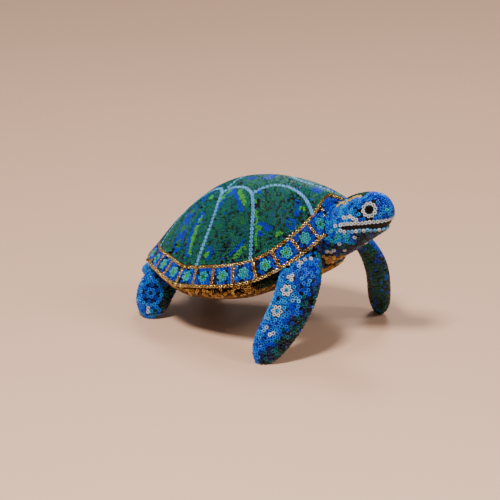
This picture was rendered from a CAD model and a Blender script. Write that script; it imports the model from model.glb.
import math
import random
from bisect import bisect
from itertools import accumulate

import bmesh
import bpy
from mathutils import Matrix, Vector
from mathutils.bvhtree import BVHTree
from mathutils.kdtree import KDTree


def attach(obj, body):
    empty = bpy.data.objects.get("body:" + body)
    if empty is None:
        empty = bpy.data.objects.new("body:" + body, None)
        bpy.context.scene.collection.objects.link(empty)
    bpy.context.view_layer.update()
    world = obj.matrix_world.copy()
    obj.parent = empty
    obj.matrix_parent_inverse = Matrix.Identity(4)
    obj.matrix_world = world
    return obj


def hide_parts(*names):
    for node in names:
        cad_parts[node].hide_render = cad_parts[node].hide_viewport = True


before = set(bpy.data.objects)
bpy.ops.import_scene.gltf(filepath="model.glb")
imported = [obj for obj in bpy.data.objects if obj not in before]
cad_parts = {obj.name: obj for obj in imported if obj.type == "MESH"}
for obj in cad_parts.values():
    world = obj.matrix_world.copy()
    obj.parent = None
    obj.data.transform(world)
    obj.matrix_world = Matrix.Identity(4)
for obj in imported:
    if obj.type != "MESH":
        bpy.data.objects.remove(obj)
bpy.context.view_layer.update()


# ---------------------------------------------------------------- carved wood
# The body, head, tail and flippers are knife-carved from soft copal wood and joined with glued dowels.
# All of it is buried under the wax, so the solids from the CAD model are kept and given a wood finish.
class Value:
    """A value that changes over a surface.  Sums written with it become shader nodes."""

    def __init__(self, finish, socket):
        self.finish = finish
        self.socket = socket

    def sum_of(self, operation, first, second):
        return self.finish.add("ShaderNodeMath", {"operation": operation}, {0: first, 1: second})

    def __add__(self, other):
        return self.sum_of("ADD", self, other)

    def __radd__(self, other):
        return self.sum_of("ADD", other, self)

    def __sub__(self, other):
        return self.sum_of("SUBTRACT", self, other)

    def __rsub__(self, other):
        return self.sum_of("SUBTRACT", other, self)

    def __mul__(self, other):
        return self.sum_of("MULTIPLY", self, other)

    def __rmul__(self, other):
        return self.sum_of("MULTIPLY", other, self)


class Finish:
    """A material built up from what a maker would see: a colour, a gloss and a texture."""

    def __init__(self, name, **gloss):
        self.material = bpy.data.materials.new(name)
        self.material.use_nodes = True
        self.tree = self.material.node_tree
        self.shader = self.tree.nodes["Principled BSDF"]
        self.set(**gloss)

    def add(self, kind, settings, inputs, output=0):
        """A node of any kind.  Its settings go in first, then the numbers or values of its sockets."""
        node = self.tree.nodes.new(kind)
        for name, value in settings.items():
            if name == "stops":
                for stop, (at, colour) in zip(node.color_ramp.elements, value):
                    stop.position = at
                    stop.color = (*colour, 1.0)
            else:
                setattr(node, name, value)
        for key, value in inputs.items():
            self.feed(node.inputs[key], value)
        return Value(self, node.outputs[output])

    def feed(self, socket, value):
        """Links a value to a socket, or writes a plain number or colour on it."""
        if isinstance(value, Value):
            self.tree.links.new(value.socket, socket)
        else:
            socket.default_value = value

    def place(self, stretch=(1.0, 1.0, 1.0)):
        """Where a point of the piece is, in metres, stretched along each axis."""
        where = self.add("ShaderNodeTexCoord", {}, {}, "Object")
        return self.add("ShaderNodeMapping", {}, {"Vector": where, "Scale": stretch})

    def noise(self, where, scale, detail):
        """Soft blotches, so many to the metre."""
        return self.add("ShaderNodeTexNoise", {}, {"Vector": where, "Scale": scale, "Detail": detail})

    def ramp(self, value, low, high):
        """A colour that goes from low to high as the value passes its middle."""
        stops = [(0.35, low), (0.65, high)]
        return self.add("ShaderNodeValToRGB", {"stops": stops}, {"Fac": value})

    def mix(self, share, first, second, blend="MIX"):
        """Two colours mixed: the node's sockets 6 and 7 are its colours, and its output 2 is one."""
        settings = {"data_type": "RGBA", "blend_type": blend}
        return self.add("ShaderNodeMix", settings, {"Factor": share, 6: first, 7: second}, 2)

    def bump(self, height, depth):
        """Makes the surface look raised by up to a depth in metres."""
        sockets = {"Height": height, "Distance": depth, "Strength": 0.6}
        self.set(Normal=self.add("ShaderNodeBump", {}, sockets))

    def set(self, **sockets):
        """Sets sockets of the shader, their names written with underscores."""
        for socket, value in sockets.items():
            self.feed(self.shader.inputs[socket.replace("_", " ")], value)


def paint(piece, finish):
    """Gives a kept CAD piece its finish."""
    for place in piece.material_slots:
        place.link = "OBJECT"
        place.material = finish.material


GRAIN_PER_METRE = 900.0
KNIFE_CUTS_PER_METRE = 160.0
CUT_DEPTH = 0.0004


def wood_finish(name, pale, dark, stretch):
    """Wood with fine grain and broader knife cuts, both drawn out along X."""
    wood = Finish(name)
    where = wood.place((stretch, 1.0, 1.0))
    grain = wood.noise(where, GRAIN_PER_METRE, 6.0)
    cuts = wood.noise(where, KNIFE_CUTS_PER_METRE, 2.0)
    wood.set(Base_Color=wood.ramp(grain, dark, pale), Roughness=0.5 + 0.3 * cuts)
    wood.bump(grain * 0.4 + cuts, CUT_DEPTH)
    return wood


copal_wood = wood_finish("copal_wood", (0.52, 0.35, 0.19), (0.30, 0.18, 0.08), 0.15)
dowel_wood = wood_finish("dowel_wood", (0.62, 0.45, 0.26), (0.42, 0.28, 0.14), 0.2)
for node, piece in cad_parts.items():
    if node.endswith("_core"):
        paint(piece, copal_wood)
    elif node.endswith("_dowel"):
        paint(piece, dowel_wood)

# ---------------------------------------------------------------- beeswax
# A coat of beeswax and pine resin, a millimetre thick, is rubbed on warm.  It shows as the dark
# ground between the beads, so the CAD coats are kept and finished as dull, finger-pressed wax.
SMEARS_PER_METRE = 420.0
SMEAR_DEPTH = 0.0003
beeswax = Finish("beeswax", IOR=1.25)
smears = beeswax.noise(beeswax.place(), SMEARS_PER_METRE, 4.0)
beeswax.set(
    Base_Color=beeswax.ramp(smears, (0.002, 0.002, 0.002), (0.009, 0.006, 0.004)),
    Roughness=0.55 + 0.3 * smears,
)
beeswax.bump(smears, SMEAR_DEPTH)
for node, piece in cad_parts.items():
    if node.endswith("_wax_coat"):
        paint(piece, beeswax)

# ---------------------------------------------------------------- the glass seed bead
# A seed bead is a short ring cut from drawn glass tube and tumbled in heat until its edges are round.
# It is pressed into the wax with its hole outwards, so each one shows as a small bright ring.
BEAD = 0.0021
BEAD_HEIGHT = 0.0014
SMALL_BEAD = 0.00142
SMALL_HEIGHT = 0.0011
FILLED = 0.98  # the share of its place that a bead fills
HOLE = 0.47
CROWN = 0.74


def ring_bead(name, width, height, around):
    """One bead at the origin, its hole along Z and its top at Z = 0."""
    bead = bmesh.new()
    rim = width * FILLED / 2
    hole = rim * HOLE
    crown = rim * CROWN
    # Half of the bead cut through its hole: each corner's radius, and its share of the height.
    outline = ((hole, -0.9), (hole, -0.22), (crown, 0.0), (rim, -0.30), (rim, -0.75), (crown, -1.0))
    corners = [bead.verts.new((radius, 0.0, share * height)) for radius, share in outline]
    sides = [bead.edges.new((corners[number - 1], corner)) for number, corner in enumerate(corners)]
    bmesh.ops.spin(
        bead,
        geom=corners + sides,
        cent=(0, 0, 0),
        axis=(0, 0, 1),
        angle=math.tau,
        steps=around,
        use_merge=True,
    )
    bmesh.ops.recalc_face_normals(bead, faces=bead.faces)
    for face in bead.faces:
        face.smooth = True
    mesh = bpy.data.meshes.new(name)
    bead.to_mesh(mesh)
    bead.free()
    return mesh


large_bead = ring_bead("large_bead", BEAD, BEAD_HEIGHT, 9)
belly_bead = ring_bead("belly_bead", BEAD, BEAD_HEIGHT, 7)
small_bead = ring_bead("small_bead", SMALL_BEAD, SMALL_HEIGHT, 7)
STREAKS_PER_METRE = 1600.0


def glass_finish(name, shade, **gloss):
    """Coloured glass: each bead's colour is on its own corners, and is darker in streaks."""
    glass = Finish(name, **gloss)
    tint = glass.add("ShaderNodeAttribute", {"attribute_name": "bead_colour"}, {}, "Color")
    streaks = glass.noise(glass.place(), STREAKS_PER_METRE, 2.0)
    deep = glass.mix(1.0, tint, (shade, shade, shade, 1.0), "MULTIPLY")
    glass.set(Base_Color=glass.mix(streaks, tint, deep), Roughness=0.06 + 0.12 * streaks)
    return glass


opaque_glass = glass_finish("opaque_glass", 0.55, IOR=1.45)
lined_glass = glass_finish("lined_glass", 0.45, IOR=1.5, Metallic=0.75)

# The colours that beads are bought in.
ROYAL = (0.001, 0.045, 0.62)
NAVY = (0.004, 0.012, 0.10)
AZURE = (0.001, 0.17, 0.88)
SKY = (0.010, 0.36, 0.95)
PALE_BLUE = (0.15, 0.52, 0.95)
TURQUOISE = (0.03, 0.47, 0.52)
TEAL = (0.000, 0.125, 0.150)
SEA_GREEN = (0.000, 0.17, 0.095)
FOREST = (0.003, 0.055, 0.035)
GREEN = (0.015, 0.22, 0.035)
LIME = (0.06, 0.50, 0.05)
GREEN_BLACK = (0.002, 0.014, 0.014)
BLACK = (0.003, 0.003, 0.004)
WHITE = (0.78, 0.80, 0.86)
GOLD = (0.78, 0.50, 0.14)
PALE_GOLD = (0.92, 0.72, 0.32)
BRONZE = (0.42, 0.24, 0.05)
DARK_BRONZE = (0.13, 0.065, 0.014)


def on_skin(surface, points, reach=0.0012):
    """Each point near the skin moved onto it, with the skin's outward direction there."""
    found = [surface.find_nearest(point) for point in points]
    return [(place, normal) for place, normal, _face, gap in found if gap < reach]


class Skins:
    """The outer surfaces of the bead coats, and the beads already laid on them."""

    EASE = 0.4  # how far a bead moves out of its neighbours' way in one round
    NEAR = 1.25  # how many bead widths away neighbours are looked for
    CROWDED = 0.76  # a bead nearer than this share of a width to one already laid is left out
    FACING = 0.65  # how squarely a face looks away from the wax
    CROWDING = 1.09  # how many beads are tried for each square of one bead's width
    ROUNDS = 36
    LAST_ROUNDS = 10  # once the crowded beads are out, the rest spread into their room

    def __init__(self, backing):
        ground = bmesh.new()
        for node in backing:
            ground.from_mesh(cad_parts[node].data)
        self.ground = BVHTree.FromBMesh(ground)
        ground.free()
        self.laid = []

    def faces_out(self, face, thinnest):
        """Whether a face looks away from the wax, and not into it or along it."""
        centre = face.calc_center_median()
        below, _normal, _number, depth = self.ground.find_nearest(centre)
        return depth > thinnest and (centre - below).dot(face.normal) > depth * self.FACING

    def open(self, *nodes, thinnest=0.0003):
        """The outward faces of some coats, where a coat is at least so thick: where beads show."""
        skin = bmesh.new()
        for node in nodes:
            skin.from_mesh(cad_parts[node].data)
        bmesh.ops.remove_doubles(skin, verts=skin.verts, dist=1e-6)
        hidden = [face for face in skin.faces if not self.faces_out(face, thinnest)]
        bmesh.ops.delete(skin, geom=hidden, context="FACES")
        bmesh.ops.triangulate(skin, faces=skin.faces)
        return skin

    def scatter(self, skin, count, chance):
        """Points spread evenly at random over a skin."""
        faces = list(skin.faces)
        areas = list(accumulate(face.calc_area() for face in faces))
        points = []
        for _ in range(count):
            face = faces[min(bisect(areas, chance.random() * areas[-1]), len(faces) - 1)]
            first, second, third = (corner.co for corner in face.verts)
            low, high = sorted((chance.random(), chance.random()))
            points.append(first * low + second * (high - low) + third * (1 - high))
        return points

    def settle(self, points, surface, width, rounds):
        """Pushes crowded beads apart until they sit side by side."""
        fixed = self.laid
        total = len(points)
        for _ in range(rounds):
            tree = KDTree(total + len(fixed))
            for number, point in enumerate(points):
                tree.insert(point, number)
            for number, (place, _size) in enumerate(fixed):
                tree.insert(place, total + number)
            tree.balance()
            moved = []
            for number, point in enumerate(points):
                push = Vector()
                for other, found, gap in tree.find_range(point, width * self.NEAR):
                    if found == number or gap < 1e-9:
                        continue
                    need = width if found < total else (width + fixed[found - total][1]) / 2
                    if gap < need:
                        push += (point - other) * ((need - gap) / gap)
                moved.append(surface.find_nearest(point + push * self.EASE)[0])
            points = moved
        return points

    def fill(self, skin, width, seed):
        """Lays beads of one width over a whole skin, between those already laid."""
        chance = random.Random(seed)
        area = sum(face.calc_area() for face in skin.faces)
        surface = BVHTree.FromBMesh(skin)
        points = self.scatter(skin, int(self.CROWDING * area / width**2), chance)
        points = self.settle(points, surface, width, self.ROUNDS)
        tree = KDTree(len(self.laid))
        for number, (place, _size) in enumerate(self.laid):
            tree.insert(place, number)
        tree.balance()
        roomy = []
        for point in points:
            _place, found, gap = tree.find(point)
            if gap > (width + self.laid[found][1]) / 2 * self.CROWDED:
                roomy.append(point)
        kept = on_skin(surface, self.settle(roomy, surface, width, self.LAST_ROUNDS))
        self.keep(kept, width)
        return kept

    def keep(self, places, width):
        """Remembers beads that are laid.  A place is a point and a direction, and maybe a colour."""
        self.laid += [(place[0], width) for place in places]


skins = Skins([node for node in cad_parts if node.endswith(("_wax_coat", "_core"))])
LEAN = 0.045
SIZES = (0.95, 1.02)
DARK_TO_LIGHT = (0.80, 1.20)


def lay_beads(node, beads, bead, finish):
    """One piece that stands for a node: beads, each with its place, outward direction and colour."""
    name = node + "_laid"
    joined = bmesh.new()
    rest = [value for corner in bead.vertices for value in corner.co]
    heights = rest[2::3]
    # A bead is darkest down its hole and where it sits in the wax.
    shades = [max(0.07, 1.0 + height / -min(heights)) for height in heights]
    turn = random.Random(name)
    tints = []
    for place, normal, colour in beads:
        tilt = Vector((turn.gauss(0, LEAN), turn.gauss(0, LEAN), turn.gauss(0, LEAN)))
        size = turn.uniform(*SIZES)
        upright = (normal + tilt).to_track_quat("Z", "Y").to_matrix().to_4x4()
        bead.vertices.foreach_set("co", rest)
        bead.transform(Matrix.Translation(place) @ upright @ Matrix.Scale(size, 4))
        joined.from_mesh(bead)
        light = turn.uniform(*DARK_TO_LIGHT)
        tints.append([share * light for share in colour])
    bead.vertices.foreach_set("co", rest)
    mesh = bpy.data.meshes.new(name)
    joined.to_mesh(mesh)
    joined.free()
    colours = mesh.color_attributes.new("bead_colour", "FLOAT_COLOR", "POINT")
    flat = []
    for red, green, blue in tints:
        for shade in shades:
            flat += (red * shade, green * shade, blue * shade, 1.0)
    colours.data.foreach_set("color", flat)
    mesh.materials.append(finish.material)
    piece = bpy.data.objects.new(name, mesh)
    bpy.context.scene.collection.objects.link(piece)
    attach(piece, "root")
    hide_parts(node)


OTHER_SIDE = Vector((1, -1, 1))


def mirrored(beads):
    """The same beads on the other side of the turtle."""
    return [(place * OTHER_SIDE, normal * OTHER_SIDE, colour) for place, normal, colour in beads]


def pick(chance, *shares):
    """A colour drawn from (colour, share) pairs."""
    colours, weights = zip(*shares)
    return chance.choices(colours, weights)[0]


# ---------------------------------------------------------------- gold rows and dividers of the band
# The band round the rim is framed by a single row of gold-lined beads above and below, and
# short gold bars of four beads part its 27 squares.  They are laid first, end to end.
SQUARES = 27
band_skin = skins.open("rim_square_beads", "gold_divider_beads", "upper_gold_row", "lower_gold_row")
band_surface = BVHTree.FromBMesh(band_skin)
# The strips that run round the shell are cut into slices about a point near the shell's centre.
under_shell = Vector((-0.0127, 0.0, 0.0))
SLICES = 150
POINTS_TAKEN = 9000


def middle_line(node, seed):
    """The line along the middle of a strip that runs round the shell, from the rear centre."""
    skin = skins.open(node, thinnest=0.0012)
    sums = [[Vector(), 0] for _ in range(SLICES)]
    for point in skins.scatter(skin, POINTS_TAKEN, random.Random(seed)):
        out = point - under_shell
        turned = math.atan2(-out.y, -out.x) % math.tau
        share = sums[int(turned / math.tau * SLICES) % SLICES]
        share[0] += point
        share[1] += 1
    skin.free()
    found = [total / number for total, number in sums if number]
    after = found[1:] + found[:1]
    return [(found[at - 1] + found[at] * 2 + after[at]) / 4 for at in range(len(found))]


def even_places(line, count, closed=True):
    """Points at equal distances along a line."""
    ends = line + line[:1] if closed else line
    gaps = ((after - before).length for before, after in zip(ends, ends[1:]))
    lengths = [0.0] + list(accumulate(gaps))
    places = []
    for number in range(count):
        along = lengths[-1] * number / (count if closed else count - 1)
        step = max(min(bisect(lengths, along), len(ends) - 1), 1)
        share = (along - lengths[step - 1]) / (lengths[step] - lengths[step - 1])
        places.append(ends[step - 1].lerp(ends[step], min(share, 1.0)))
    return places


def line_length(line):
    """The length of an open line."""
    return sum((after - before).length for before, after in zip(line, line[1:]))


LINE_POINTS = 900
lower_line = even_places(middle_line("lower_gold_row", 1), LINE_POINTS)
upper_line = even_places(middle_line("upper_gold_row", 2), LINE_POINTS)
SQUARE_STEPS = 36
STEPS = SQUARES * SQUARE_STEPS
band_middle = [(low + high) / 2 for low, high in zip(lower_line, upper_line)]
# The bars stand where the CAD dividers do: equal steps of the band's middle, from the rear centre.
rear = min(range(len(band_middle)), key=lambda at: (band_middle[at].x > 0, abs(band_middle[at].y)))
band_middle = even_places(band_middle[rear:] + band_middle[:rear], STEPS)
BAND_REACH = 0.016
NEARBY_STEPS = 6


def nearest_across(line, point, along):
    """Where a line passes the plane across the band at a point."""
    close = [other for other in line if (other - point).length < BAND_REACH]
    return min(close, key=lambda other: abs((other - point).dot(along)))


def across_band(step):
    """The band's lower point, upper point and direction at one step along its middle."""
    point = band_middle[step % STEPS]
    after = band_middle[(step + NEARBY_STEPS) % STEPS]
    along = (after - band_middle[step - NEARBY_STEPS]).normalized()
    low = nearest_across(lower_line, point, along)
    high = nearest_across(upper_line, point, along)
    return low, high, along


gold_rows = []
for line in (lower_line, upper_line):
    count = round(line_length(line + line[:1]) / BEAD)
    gold_rows.append(on_skin(band_surface, even_places(line, count)))
BAR_BEADS = 4
bars = []
for number in range(SQUARES):
    low, high, _along = across_band(number * SQUARE_STEPS)
    shares = [(bead + 1) / (BAR_BEADS + 1) for bead in range(BAR_BEADS)]
    bars += on_skin(band_surface, [low.lerp(high, share) for share in shares])
gilding = random.Random("gilding")


def gold_colour(_place):
    return pick(gilding, (GOLD, 5), (PALE_GOLD, 3), (BRONZE, 2))


def coloured(places, colour_at):
    """Beads at places on a skin, each with the colour that a function gives its place."""
    return [(place, normal, colour_at(place)) for place, normal in places]


gold_nodes = ("lower_gold_row", "upper_gold_row", "gold_divider_beads")
for node, places in zip(gold_nodes, (*gold_rows, bars)):
    skins.keep(places, BEAD)
    lay_beads(node, coloured(places, gold_colour), large_bead, lined_glass)

# ---------------------------------------------------------------- rim squares
# Each square of the band is royal blue round a flower of six turquoise beads with a green eye.
# The flower goes in first and the blue beads are packed round it.
PETALS = 6
PETAL_TURN = 0.26
PACKED_TIGHT = 0.97
flowers = []
square_chance = random.Random("squares")
for number in range(SQUARES):
    low, high, along = across_band(number * SQUARE_STEPS + SQUARE_STEPS // 2)
    centre = low.lerp(high, 0.5)
    across = (high - low).normalized()
    eye_colour = pick(square_chance, (LIME, 2), (GREEN, 1), (TURQUOISE, 1))
    spots = [(centre, eye_colour)]
    for petal in range(PETALS):
        turned = math.tau * petal / PETALS + PETAL_TURN
        outwards = along * math.cos(turned) + across * math.sin(turned)
        spots.append((centre + outwards * BEAD, TURQUOISE))
    for spot, colour in spots:
        flowers += [(place, normal, colour) for place, normal in on_skin(band_surface, [spot])]
skins.keep(flowers, BEAD)


def square_colour(_place):
    return pick(square_chance, (ROYAL, 8), (AZURE, 1), (NAVY, 1))


def cover(skin, width, seed, colour_at):
    """Beads of one width over the whole of a skin, round those already laid on it."""
    return coloured(skins.fill(skin, width, seed), colour_at)


blues = cover(skins.open("rim_square_beads"), BEAD * PACKED_TIGHT, 11, square_colour)
lay_beads("rim_square_beads", flowers + blues, large_bead, opaque_glass)

# ---------------------------------------------------------------- scute lines
# Single rows of large pale-blue beads outline the scutes: three arches along each side of the
# spine, three lines from them down to the band, and one line across the spine.  Each is a few points
# on one side, in millimetres ahead of the shell's centre and out from the spine, seen from above.
dome_skin = skins.open(
    "scute_line_beads", "vertebral_beads", "right_costal_beads", "left_costal_beads"
)
dome_surface = BVHTree.FromBMesh(dome_skin)
SCUTE_LINES = (
    ((-54.0, 3.8), (-40.0, 4.6), (-25.0, 5.2), (-15.1, 5.8), (-8.0, 8.5), (-3.4, 13.4)),
    ((-3.4, 13.4), (1.0, 11.8), (7.9, 12.2), (13.0, 14.0), (17.9, 16.7)),
    ((17.9, 16.7), (21.0, 12.0), (26.2, 7.5), (33.0, 6.2), (42.0, 8.2), (50.0, 12.5), (58.0, 18.5)),
    ((-3.4, 13.4), (0.3, 24.9), (1.0, 32.5), (0.4, 37.8), (-0.6, 45.0)),
    ((17.9, 16.7), (24.4, 24.9), (28.3, 31.3), (31.4, 36.2), (36.0, 44.0)),
    ((-29.0, 5.1), (-34.5, 8.5), (-37.2, 11.7), (-39.7, 15.9), (-43.0, 23.0)),
    ((-3.4, 13.4), (-1.5, 7.0), (0.5, 0.0)),
)
SHELL_AHEAD = -0.01269


def from_shell(ahead, out, up):
    """A point on the right side, from millimetres ahead of the shell's centre, outwards and up."""
    return Vector((ahead / 1000 + SHELL_AHEAD, -out / 1000, up / 1000))


CURVE_STEPS = 12


def smooth_path(points):
    """A curve through a few points, as many short steps."""
    path = []
    for number in range(len(points) - 1):
        before = points[max(number - 1, 0)]
        start, end = points[number], points[number + 1]
        after = points[min(number + 2, len(points) - 1)]
        for step in range(CURVE_STEPS):
            share = step / CURVE_STEPS
            slope = (end - before) * share
            bend = (2 * before - 5 * start + 4 * end - after) * share**2
            turn = (3 * start - before - 3 * end + after) * share**3
            path.append(0.5 * (2 * start + slope + bend + turn))
    return path + [points[-1]]


ABOVE_SHELL = 90
SAME_BEAD = 0.75
SPINE_REACH = 0.001
line_beads = []
for outline in SCUTE_LINES:
    plan = smooth_path([from_shell(ahead, out, ABOVE_SHELL) for ahead, out in outline])
    hits = [dome_surface.ray_cast(point, Vector((0, 0, -1)))[0] for point in plan]
    hits = [hit for hit in hits if hit]
    count = round(line_length(hits) / BEAD) + 1
    for place, normal in on_skin(dome_surface, even_places(hits, count, closed=False)):
        if all((place - other[0]).length > BEAD * SAME_BEAD for other in line_beads):
            line_beads.append((place, normal, PALE_BLUE))
line_beads += mirrored([bead for bead in line_beads if bead[0].y < -SPINE_REACH])
skins.keep(line_beads, BEAD)
lay_beads("scute_line_beads", line_beads, large_bead, opaque_glass)

# ---------------------------------------------------------------- scute fields
# The scutes are filled with small teal and dark-green beads, with figures in royal blue and bright
# green: a peak, a triangle, rosettes and edge strips.  A figure is a colour, how far it reaches from
# its line, and the line's corners: ahead of the shell's centre, out from the spine, and up, in mm.
DOME_FIGURES = (
    (LIME, 1.5, ((5.5, 37.5, 44.5),)),
    (ROYAL, 3.4, ((6.5, 37.5, 45),)),
    (ROYAL, 1.1, ((4, 14, 71.5), (1.5, 19, 66.5), (1, 24.5, 61))),
    (ROYAL, 1.1, ((4, 14, 71.5), (12, 20.5, 69.5), (17.5, 25, 66))),
    (LIME, 1.9, ((2, 15, 70.5), (-0.5, 19, 66))),
    (LIME, 1.6, ((9, 15.5, 72.5), (16.5, 22, 69))),
    (GREEN, 0.9, ((17.5, 25, 66), (21.5, 29.5, 61))),
    (ROYAL, 1.3, ((25.5, 34.5, 53.5), (20.5, 38, 47.5))),
    (LIME, 1.4, ((27, 35.5, 51.5), (23, 38, 46.5))),
    (LIME, 0.8, ((22, 20, 71), (27.5, 26, 65), (33.5, 34.5, 53.5))),
    (LIME, 1.4, ((31.5, 29.5, 61),)),
    (ROYAL, 1.3, ((30, 28, 63), (37.5, 28.5, 62), (33, 31, 58.5))),
    (ROYAL, 1.7, ((21, 14.5, 74.5),)),
    (LIME, 1.8, ((47.5, 15.5, 70.5),)),
    (ROYAL, 1.3, ((43, 12.5, 73), (47.5, 19.5, 68.5))),
    (GREEN, 1.1, ((47, 24.5, 65),)),
    (ROYAL, 3.0, ((47, 24.5, 65),)),
    (LIME, 1.2, ((44, 29, 60.5), (42, 30, 59))),
    (GREEN, 2.5, ((-21, 14.5, 56.5),)),
    (GREEN, 2.5, ((-21, 22, 49.5),)),
    (GREEN, 2.5, ((-20, 28, 42.5),)),
    (ROYAL, 4.3, ((-21, 14.5, 56.5), (-21, 22, 49.5), (-20, 28, 42.5))),
    (ROYAL, 2.7, ((-16.5, 10.5, 62.5),)),
    (LIME, 1.9, ((-10, 13.5, 65.5),)),
    (LIME, 1.3, ((-8.5, 23.5, 57), (-9, 30, 48), (-7, 34.5, 42))),
    (ROYAL, 2.6, ((-9.5, 22.5, 57.5), (-10.5, 29.5, 48), (-8.5, 34, 42))),
    (GREEN, 1.2, ((-33, 15.5, 44.5), (-37, 18, 37.5))),
    (ROYAL, 2.4, ((8.5, 4.5, 76),)),
    (ROYAL, 2.4, ((16.5, 2, 77.5),)),
    (ROYAL, 2.8, ((45.5, 1, 76),)),
    (ROYAL, 2.4, ((-14, 1.5, 68),)),
)


def distance_to(point, corners):
    """How far a point is from a bent line."""
    if len(corners) == 1:
        return (point - corners[0]).length
    gaps = []
    for start, end in zip(corners, corners[1:]):
        side = end - start
        share = max(0.0, min(1.0, (point - start).dot(side) / side.dot(side)))
        gaps.append((point - start - side * share).length)
    return min(gaps)


def in_mm(place):
    """How far a place is ahead of the shell's centre, out from the spine and up, in millimetres."""
    return (place.x - SHELL_AHEAD) * 1000, abs(place.y) * 1000, place.z * 1000


def figure_colour(figures, place):
    """The colour of the first figure that covers a place, if any does."""
    point = Vector(in_mm(place))
    for colour, reach, corners in figures:
        if distance_to(point, [Vector(corner) for corner in corners]) < reach:
            return colour
    return None


dome_chance = random.Random("dome")
STRAYS = 0.03
DOME_MIX = ((TEAL, 6), (SEA_GREEN, 6), (FOREST, 3), (GREEN_BLACK, 0.5), (ROYAL, 0.15), (GREEN, 0.5))


def dome_colour(place):
    found = figure_colour(DOME_FIGURES, place)
    if found and dome_chance.random() < 1 - STRAYS:
        return found
    return pick(dome_chance, *DOME_MIX)


right_field = cover(skins.open("right_costal_beads"), SMALL_BEAD, 21, dome_colour)
left_field = mirrored(right_field)
skins.keep(left_field, SMALL_BEAD)
spine_field = cover(skins.open("vertebral_beads"), SMALL_BEAD, 22, dome_colour)
lay_beads("right_costal_beads", right_field, small_bead, opaque_glass)
lay_beads("left_costal_beads", left_field, small_bead, opaque_glass)
lay_beads("vertebral_beads", spine_field, small_bead, opaque_glass)

# ---------------------------------------------------------------- head: eyes, lips and mouth
# The eye is a patch of black beads inside a ring of ten white ones.  A white row edges the open mouth
# above and a white and pale-blue one below.  The mouth's black lining is the CAD model's own piece.
head_skin = skins.open(
    "head_beads", "lip_beads", "eye_right", "eye_left", "eye_ring_right", "eye_ring_left"
)
head_surface = BVHTree.FromBMesh(head_skin)
head_chance = random.Random("head")
EYE = Vector((0.0688, -0.0078, 0.0740))
eye_place, eye_normal = head_surface.find_nearest(EYE)[:2]
eye_side = eye_normal.cross(Vector((0, 0, 1))).normalized()
eye_up = eye_side.cross(eye_normal).normalized()


def eye_circle(radius, count, colour, start=0.0):
    """Beads evenly spaced on a circle round the middle of the eye."""
    spots = []
    for number in range(count):
        turned = start + math.tau * number / count
        outwards = eye_side * math.cos(turned) + eye_up * math.sin(turned)
        spots.append(eye_place + outwards * radius)
    return [(place, normal, colour) for place, normal in on_skin(head_surface, spots)]


PUPIL_STEP = 0.00155
PUPIL_BEAD = 0.0016
RING_RADIUS = 0.00335
black_eye = eye_circle(0.0, 1, BLACK) + eye_circle(PUPIL_STEP, 6, BLACK)
white_ring = eye_circle(RING_RADIUS, 10, WHITE, start=0.3)
for side, beads in (("right", black_eye), ("left", mirrored(black_eye))):
    skins.keep(beads, PUPIL_BEAD)
    lay_beads(f"eye_{side}", beads, small_bead, opaque_glass)
for side, beads in (("right", white_ring), ("left", mirrored(white_ring))):
    skins.keep(beads, BEAD)
    lay_beads(f"eye_ring_{side}", beads, large_bead, opaque_glass)

lip_skin = skins.open("lip_beads")
MOUTH_CORNER = Vector((0.0553, 0.0, 0.0625))
mouth_rise = math.tan(math.radians(11.3))
HEAD_MIDDLE = 0.062
LIP_POINTS = 5000
SLICES_PER_RADIAN = 14


def above_mouth(point):
    """How far a point is above the plane of the mouth, and below it when negative."""
    return point.z - MOUTH_CORNER.z - (point.x - MOUTH_CORNER.x) * mouth_rise


# The upper lip comes first, then the lower one.
lip_places = []
for way in (1, -1):
    slices = {}
    for point in skins.scatter(lip_skin, LIP_POINTS, random.Random(30 + way)):
        if above_mouth(point) * way > 0:
            turned = round(math.atan2(point.y, point.x - HEAD_MIDDLE) * SLICES_PER_RADIAN)
            slices.setdefault(turned, []).append(point)
    middles = [sum(slices[key], Vector()) / len(slices[key]) for key in sorted(slices)]
    count = round(line_length(middles) / BEAD) + 1
    lip_places += on_skin(head_surface, even_places(middles, count, closed=False))
skins.keep(lip_places, BEAD)


def lip_colour(place):
    if above_mouth(place) > 0:
        return WHITE
    return pick(head_chance, (PALE_BLUE, 3), (WHITE, 2))


lay_beads("lip_beads", coloured(lip_places, lip_colour), large_bead, opaque_glass)

LINING_BEADS_PER_METRE = 650.0
LINING_DEPTH = 0.0006
black_lining = Finish("black_lining", IOR=1.25, Roughness=0.4)
cells = {"Vector": black_lining.place(), "Scale": LINING_BEADS_PER_METRE}
from_bead = black_lining.add("ShaderNodeTexVoronoi", {}, cells)
black_lining.set(
    Base_Color=black_lining.ramp(from_bead, (0.004, 0.004, 0.005), (0.001, 0.001, 0.001))
)
black_lining.bump(1.0 - from_bead, LINING_DEPTH)
paint(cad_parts["mouth_beads"], black_lining)

# ---------------------------------------------------------------- head and neck
# Azure and royal blue beads cover the head, darker along the lower jaw and throat, and gold where the
# throat meets the breast.  A ridge of gold and dark-green beads runs over the nape.
HEAD_FIGURES = (
    (WHITE, 1.2, ((86.5, 6.5, 77.5), (87.5, 5.5, 76))),
    (WHITE, 1.1, ((75.5, 9, 78.5),)),
    (WHITE, 1.0, ((66, 10, 67), (72, 9.5, 68.5), (76, 9, 69))),
    (WHITE, 1.0, ((63.5, 10.5, 65.5), (63, 11, 62))),
    (WHITE, 1.2, ((58.5, 9.5, 48), (61.5, 9, 49.5))),
    (GOLD, 1.2, ((60, 4.5, 71.5), (69.5, 4, 77), (74, 3.5, 79))),
    (FOREST, 2.6, ((60, 0.5, 72), (69.5, 0.5, 78), (74.5, 0.5, 80))),
)


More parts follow.
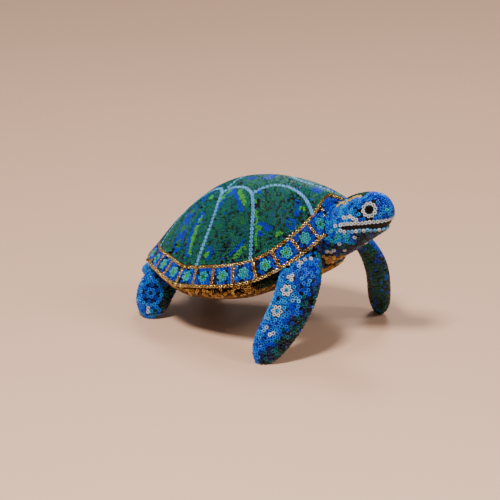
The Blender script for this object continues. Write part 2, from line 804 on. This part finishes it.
def head_colour(place):
    found = figure_colour(HEAD_FIGURES, place)
    if found:
        return found
    ahead, _out, high = in_mm(place)
    below_lips = above_mouth(place) * 1000 < -2.0
    breast = high < 46.0
    cheek = below_lips and ahead < 72.0 and high > 54.0
    jaw = below_lips and ahead > 58.0
    throat = high < 58.0
    crown = high > 76.0 or ahead < 60.0
    if breast:
        return pick(head_chance, (GOLD, 4), (BRONZE, 4), (DARK_BRONZE, 2))
    if cheek:
        return pick(head_chance, (AZURE, 6), (SKY, 3), (ROYAL, 2), (WHITE, 0.8), (TURQUOISE, 1.5))
    if jaw:
        return pick(head_chance, (NAVY, 5), (TEAL, 4), (ROYAL, 2), (GREEN_BLACK, 2), (WHITE, 0.5))
    if throat:
        return pick(head_chance, (NAVY, 4), (ROYAL, 4), (TEAL, 3), (TURQUOISE, 1), (WHITE, 0.5))
    if crown:
        return pick(head_chance, (ROYAL, 5), (AZURE, 6), (SKY, 1))
    return pick(head_chance, (AZURE, 7), (SKY, 4), (ROYAL, 3), (TURQUOISE, 0.5))


head_beads = cover(skins.open("head_beads"), BEAD, 32, head_colour)
lay_beads("head_beads", head_beads, large_bead, opaque_glass)

# ---------------------------------------------------------------- front flippers
# The outer face runs from an azure rear edge with white rosettes, through royal blue, to a dark
# green front edge.  The inner face is teal and dark green with blue spots.
FRONT_FIGURES = (
    (WHITE, 2.0, ((54.5, 34, 41.5),)),
    (WHITE, 1.2, ((55.5, 28.5, 48.5), (57.5, 24.5, 49), (58.5, 21, 49.5), (58.5, 15.5, 48.5))),
    (PALE_BLUE, 1.1, ((57.5, 38.5, 32), (60.5, 37, 31.5))),
    (WHITE, 1.1, ((49, 47, 19),)),
    (WHITE, 1.1, ((52.5, 47, 15.5),)),
)
flipper_chance = random.Random("flippers")
# The middle of a front flipper from the tip up: its height, and how far ahead it is, in mm.
FLIPPER_MIDDLE = ((0.0, 46.4), (4.6, 48.6), (12.0, 51.6), (26.0, 56.0), (41.5, 55.8), (60.0, 50.0))
# The dark front edge starts so far ahead of the middle at one height, and is wider below it.
EDGE_AHEAD = 9.4
EDGE_HEIGHT = 38.0
EDGE_WIDENING = 0.22


def middle_ahead(high):
    """How far ahead the middle of a front flipper is at a height."""
    for (low, first), (top, second) in zip(FLIPPER_MIDDLE, FLIPPER_MIDDLE[1:]):
        if high <= top:
            return first + (second - first) * max(high - low, 0.0) / (top - low)
    return FLIPPER_MIDDLE[-1][1]


def front_colour(place, normal):
    ahead, _out, high = in_mm(place)
    across = ahead - middle_ahead(high)
    inner_face = normal.y > 0.1
    if inner_face:
        if across < -2.0:
            return pick(flipper_chance, (GREEN_BLACK, 5), (FOREST, 4), (TEAL, 1))
        return pick(flipper_chance, (TEAL, 5), (FOREST, 4), (SEA_GREEN, 3), (AZURE, 1), (ROYAL, 1.2))
    found = figure_colour(FRONT_FIGURES, place)
    if found:
        return found
    wider = EDGE_WIDENING * (EDGE_HEIGHT - high)
    past_edge = across - EDGE_AHEAD + wider + flipper_chance.gauss(0, 0.8)
    root = high > 51.0
    if root:
        return pick(flipper_chance, (NAVY, 3), (TEAL, 3), (GREEN_BLACK, 3), (ROYAL, 1))
    if past_edge < -8.5:
        return pick(flipper_chance, (SKY, 4), (AZURE, 8), (PALE_BLUE, 0.6), (ROYAL, 1))
    if past_edge < -1.2:
        return pick(flipper_chance, (ROYAL, 5), (AZURE, 8), (SKY, 0.8))
    if past_edge < 0.6:
        return pick(flipper_chance, (ROYAL, 3), (TEAL, 3), (NAVY, 3))
    return pick(flipper_chance, (FOREST, 3), (GREEN_BLACK, 4), (TEAL, 2), (NAVY, 2))


def rosette(surface, spot, rings):
    """Rings of beads round one bead, each ring given as its colours in turn."""
    middle, normal = surface.find_nearest(spot)[:2]
    side = normal.cross(Vector((0, 0, 1))).normalized()
    rise = side.cross(normal)
    beads = []
    for ring, colours in enumerate(rings):
        count = max(6 * ring, 1)
        for number in range(count):
            turned = math.tau * number / count
            outwards = side * math.cos(turned) + rise * math.sin(turned)
            place, facing = surface.find_nearest(middle + outwards * BEAD * ring)[:2]
            beads.append((place, facing, colours[number % len(colours)]))
    skins.keep(beads, BEAD)
    return beads


def lay_pair(limb, beads):
    """A pair of flippers, the left one the right one's mirror image."""
    lay_beads(f"{limb}_right_beads", beads, large_bead, opaque_glass)
    lay_beads(f"{limb}_left_beads", mirrored(beads), large_bead, opaque_glass)


front_skin = skins.open("front_right_beads")
front_surface = BVHTree.FromBMesh(front_skin)
white_star = ((SKY,), (WHITE,), (AZURE, SKY))
front_beads = []
for spot in (from_shell(54.5, 37.5, 35.5), from_shell(52.5, 43, 26)):
    front_beads += rosette(front_surface, spot, white_star)
for place, normal in skins.fill(front_skin, BEAD, 41):
    front_beads.append((place, normal, front_colour(place, normal)))
lay_pair("front", front_beads)

# ---------------------------------------------------------------- rear flippers and tail
# The rear flippers are azure, with a rosette on the outer face and a white arc near the tip, and dark
# along the front edge.  The tail is a plain azure stub.
REAR_FIGURES = (
    (WHITE, 1.0, ((-41.5, 28, 5.5), (-38.5, 29.5, 4.5), (-35, 30, 6))),
    (NAVY, 1.2, ((-37.5, 23, 20.5),)),
)
REAR_MIDDLE = -38.5


def rear_colour(place, normal):
    past_middle = in_mm(place)[0] - REAR_MIDDLE + flipper_chance.gauss(0, 0.9)
    inner_face = normal.y > 0.25
    if inner_face:
        return pick(flipper_chance, (TEAL, 4), (FOREST, 4), (ROYAL, 1), (NAVY, 3))
    found = figure_colour(REAR_FIGURES, place)
    if found:
        return found
    if past_middle < 3.6:
        return pick(flipper_chance, (AZURE, 7), (SKY, 2), (ROYAL, 3))
    if past_middle < 6.2:
        return pick(flipper_chance, (AZURE, 3), (TEAL, 4), (ROYAL, 2))
    return pick(flipper_chance, (TEAL, 2), (FOREST, 2), (GREEN_BLACK, 5))


rear_skin = skins.open("rear_right_beads")
blue_target = ((NAVY,), (AZURE,), (NAVY, ROYAL), (SKY, AZURE, AZURE))
rear_surface = BVHTree.FromBMesh(rear_skin)
rear_beads = rosette(rear_surface, from_shell(REAR_MIDDLE, 27, 13), blue_target)
for place, normal in skins.fill(rear_skin, BEAD, 42):
    rear_beads.append((place, normal, rear_colour(place, normal)))
lay_pair("rear", rear_beads)


def tail_colour(_place):
    return pick(flipper_chance, (AZURE, 6), (SKY, 4), (ROYAL, 1))


tail_beads = cover(skins.open("tail_beads"), BEAD, 43, tail_colour)
lay_beads("tail_beads", tail_beads, large_bead, opaque_glass)

# ---------------------------------------------------------------- belly and shoulders
# Gold-lined beads under the rim turn to dark bronze towards the keel, with a dark green patch behind
# each front flipper.  Between the front flippers and the neck the coat is dark blue and green.
belly_chance = random.Random("belly")
# How high off the floor the gold ends under the shell's centre, in mm, and how fast that rises ahead.
GOLD_EDGE = 24.0
GOLD_EDGE_SLOPE = 0.12


def belly_colour(place):
    ahead, out, high = in_mm(place)
    behind_flipper = 36.0 < ahead < 46.0 and high > 32.0 and out > 24.0
    if behind_flipper:
        return pick(belly_chance, (GREEN_BLACK, 6), (FOREST, 3), (DARK_BRONZE, 1))
    above_gold_edge = high - GOLD_EDGE - GOLD_EDGE_SLOPE * ahead + belly_chance.gauss(0, 1.5)
    if above_gold_edge > 0.0:
        return pick(belly_chance, (GOLD, 3), (BRONZE, 5), (DARK_BRONZE, 3))
    return pick(belly_chance, (BRONZE, 4), (DARK_BRONZE, 7), (GOLD, 0.6))


def shoulder_colour(place):
    ahead = in_mm(place)[0]
    beside_neck = ahead > 40.0
    behind_flipper = ahead > 35.0
    if beside_neck:
        return pick(belly_chance, (NAVY, 4), (ROYAL, 2), (GREEN_BLACK, 4), (TEAL, 3), (WHITE, 0.4))
    if behind_flipper:
        return pick(belly_chance, (GREEN_BLACK, 5), (FOREST, 3))
    return pick(belly_chance, (GOLD, 5), (BRONZE, 4))


shoulder_skin = skins.open("shoulder_beads", thinnest=0.0011)
shoulder_beads = cover(shoulder_skin, BEAD, 51, shoulder_colour)
lay_beads("shoulder_beads", shoulder_beads, belly_bead, opaque_glass)
belly_beads = cover(skins.open("plastron_beads"), BEAD, 52, belly_colour)
lay_beads("plastron_beads", belly_beads, belly_bead, lined_glass)

# ---------------------------------------------------------------- studio
# A plain pale paper floor that runs back out of sight, three soft lamps, and a camera with a long
# lens that looks a little down on the turtle from its right side and front.
FLOOR_REACH = 6.0
floor_sheet = bmesh.new()
bmesh.ops.create_grid(floor_sheet, x_segments=1, y_segments=1, size=FLOOR_REACH)
floor_mesh = bpy.data.meshes.new("floor")
floor_sheet.to_mesh(floor_mesh)
floor_sheet.free()
paper = Finish("studio_paper", Roughness=0.42)
paper_grain = paper.noise(paper.place(), 3.0, 2.0)
paper.set(Base_Color=paper.ramp(paper_grain, (0.88, 0.52, 0.33), (0.91, 0.54, 0.35)))
floor_mesh.materials.append(paper.material)
floor = bpy.data.objects.new("floor", floor_mesh)
bpy.context.scene.collection.objects.link(floor)

world = bpy.data.worlds.new("studio")
world.use_nodes = True
sky = world.node_tree.nodes["Background"]
sky.inputs["Color"].default_value = (0.80, 0.78, 0.80, 1.0)
sky.inputs["Strength"].default_value = 0.24
bpy.context.scene.world = world

AIM = Vector((-0.0082, -0.0006, 0.0372))


def stand_facing(name, item, azimuth, rise, distance):
    """Puts a lamp or a camera so far from the turtle, facing it.  Azimuth 0 looks along +Y."""
    azimuth = math.radians(azimuth)
    rise = math.radians(rise)
    level = math.cos(rise)
    back = Vector((math.sin(azimuth) * level, -math.cos(azimuth) * level, math.sin(rise)))
    holder = bpy.data.objects.new(name, item)
    holder.location = AIM + back * distance
    holder.rotation_euler = back.to_track_quat("Z", "Y").to_euler()
    bpy.context.scene.collection.objects.link(holder)
    return holder


def lamp(name, azimuth, rise, distance, size, power):
    """A soft square lamp, its size in metres and its power in watts."""
    light = bpy.data.lights.new(name, "AREA")
    light.size = size
    light.energy = power
    stand_facing(name, light, azimuth, rise, distance)


lamp("key_lamp", 15.0, 55.0, 0.9, 0.16, 10.0)
lamp("fill_lamp", 100.0, 40.0, 1.1, 0.25, 3.5)
lamp("back_lamp", 200.0, 55.0, 1.0, 0.3, 4.0)

LENS = 250.0
SENSOR = 36.0
WIDTH_SEEN = 0.250
lens = bpy.data.cameras.new("camera")
lens.lens = LENS
lens.sensor_width = SENSOR
lens.clip_end = 30.0
bpy.context.scene.camera = stand_facing("camera", lens, 37.0, 17.5, WIDTH_SEEN * LENS / SENSOR)
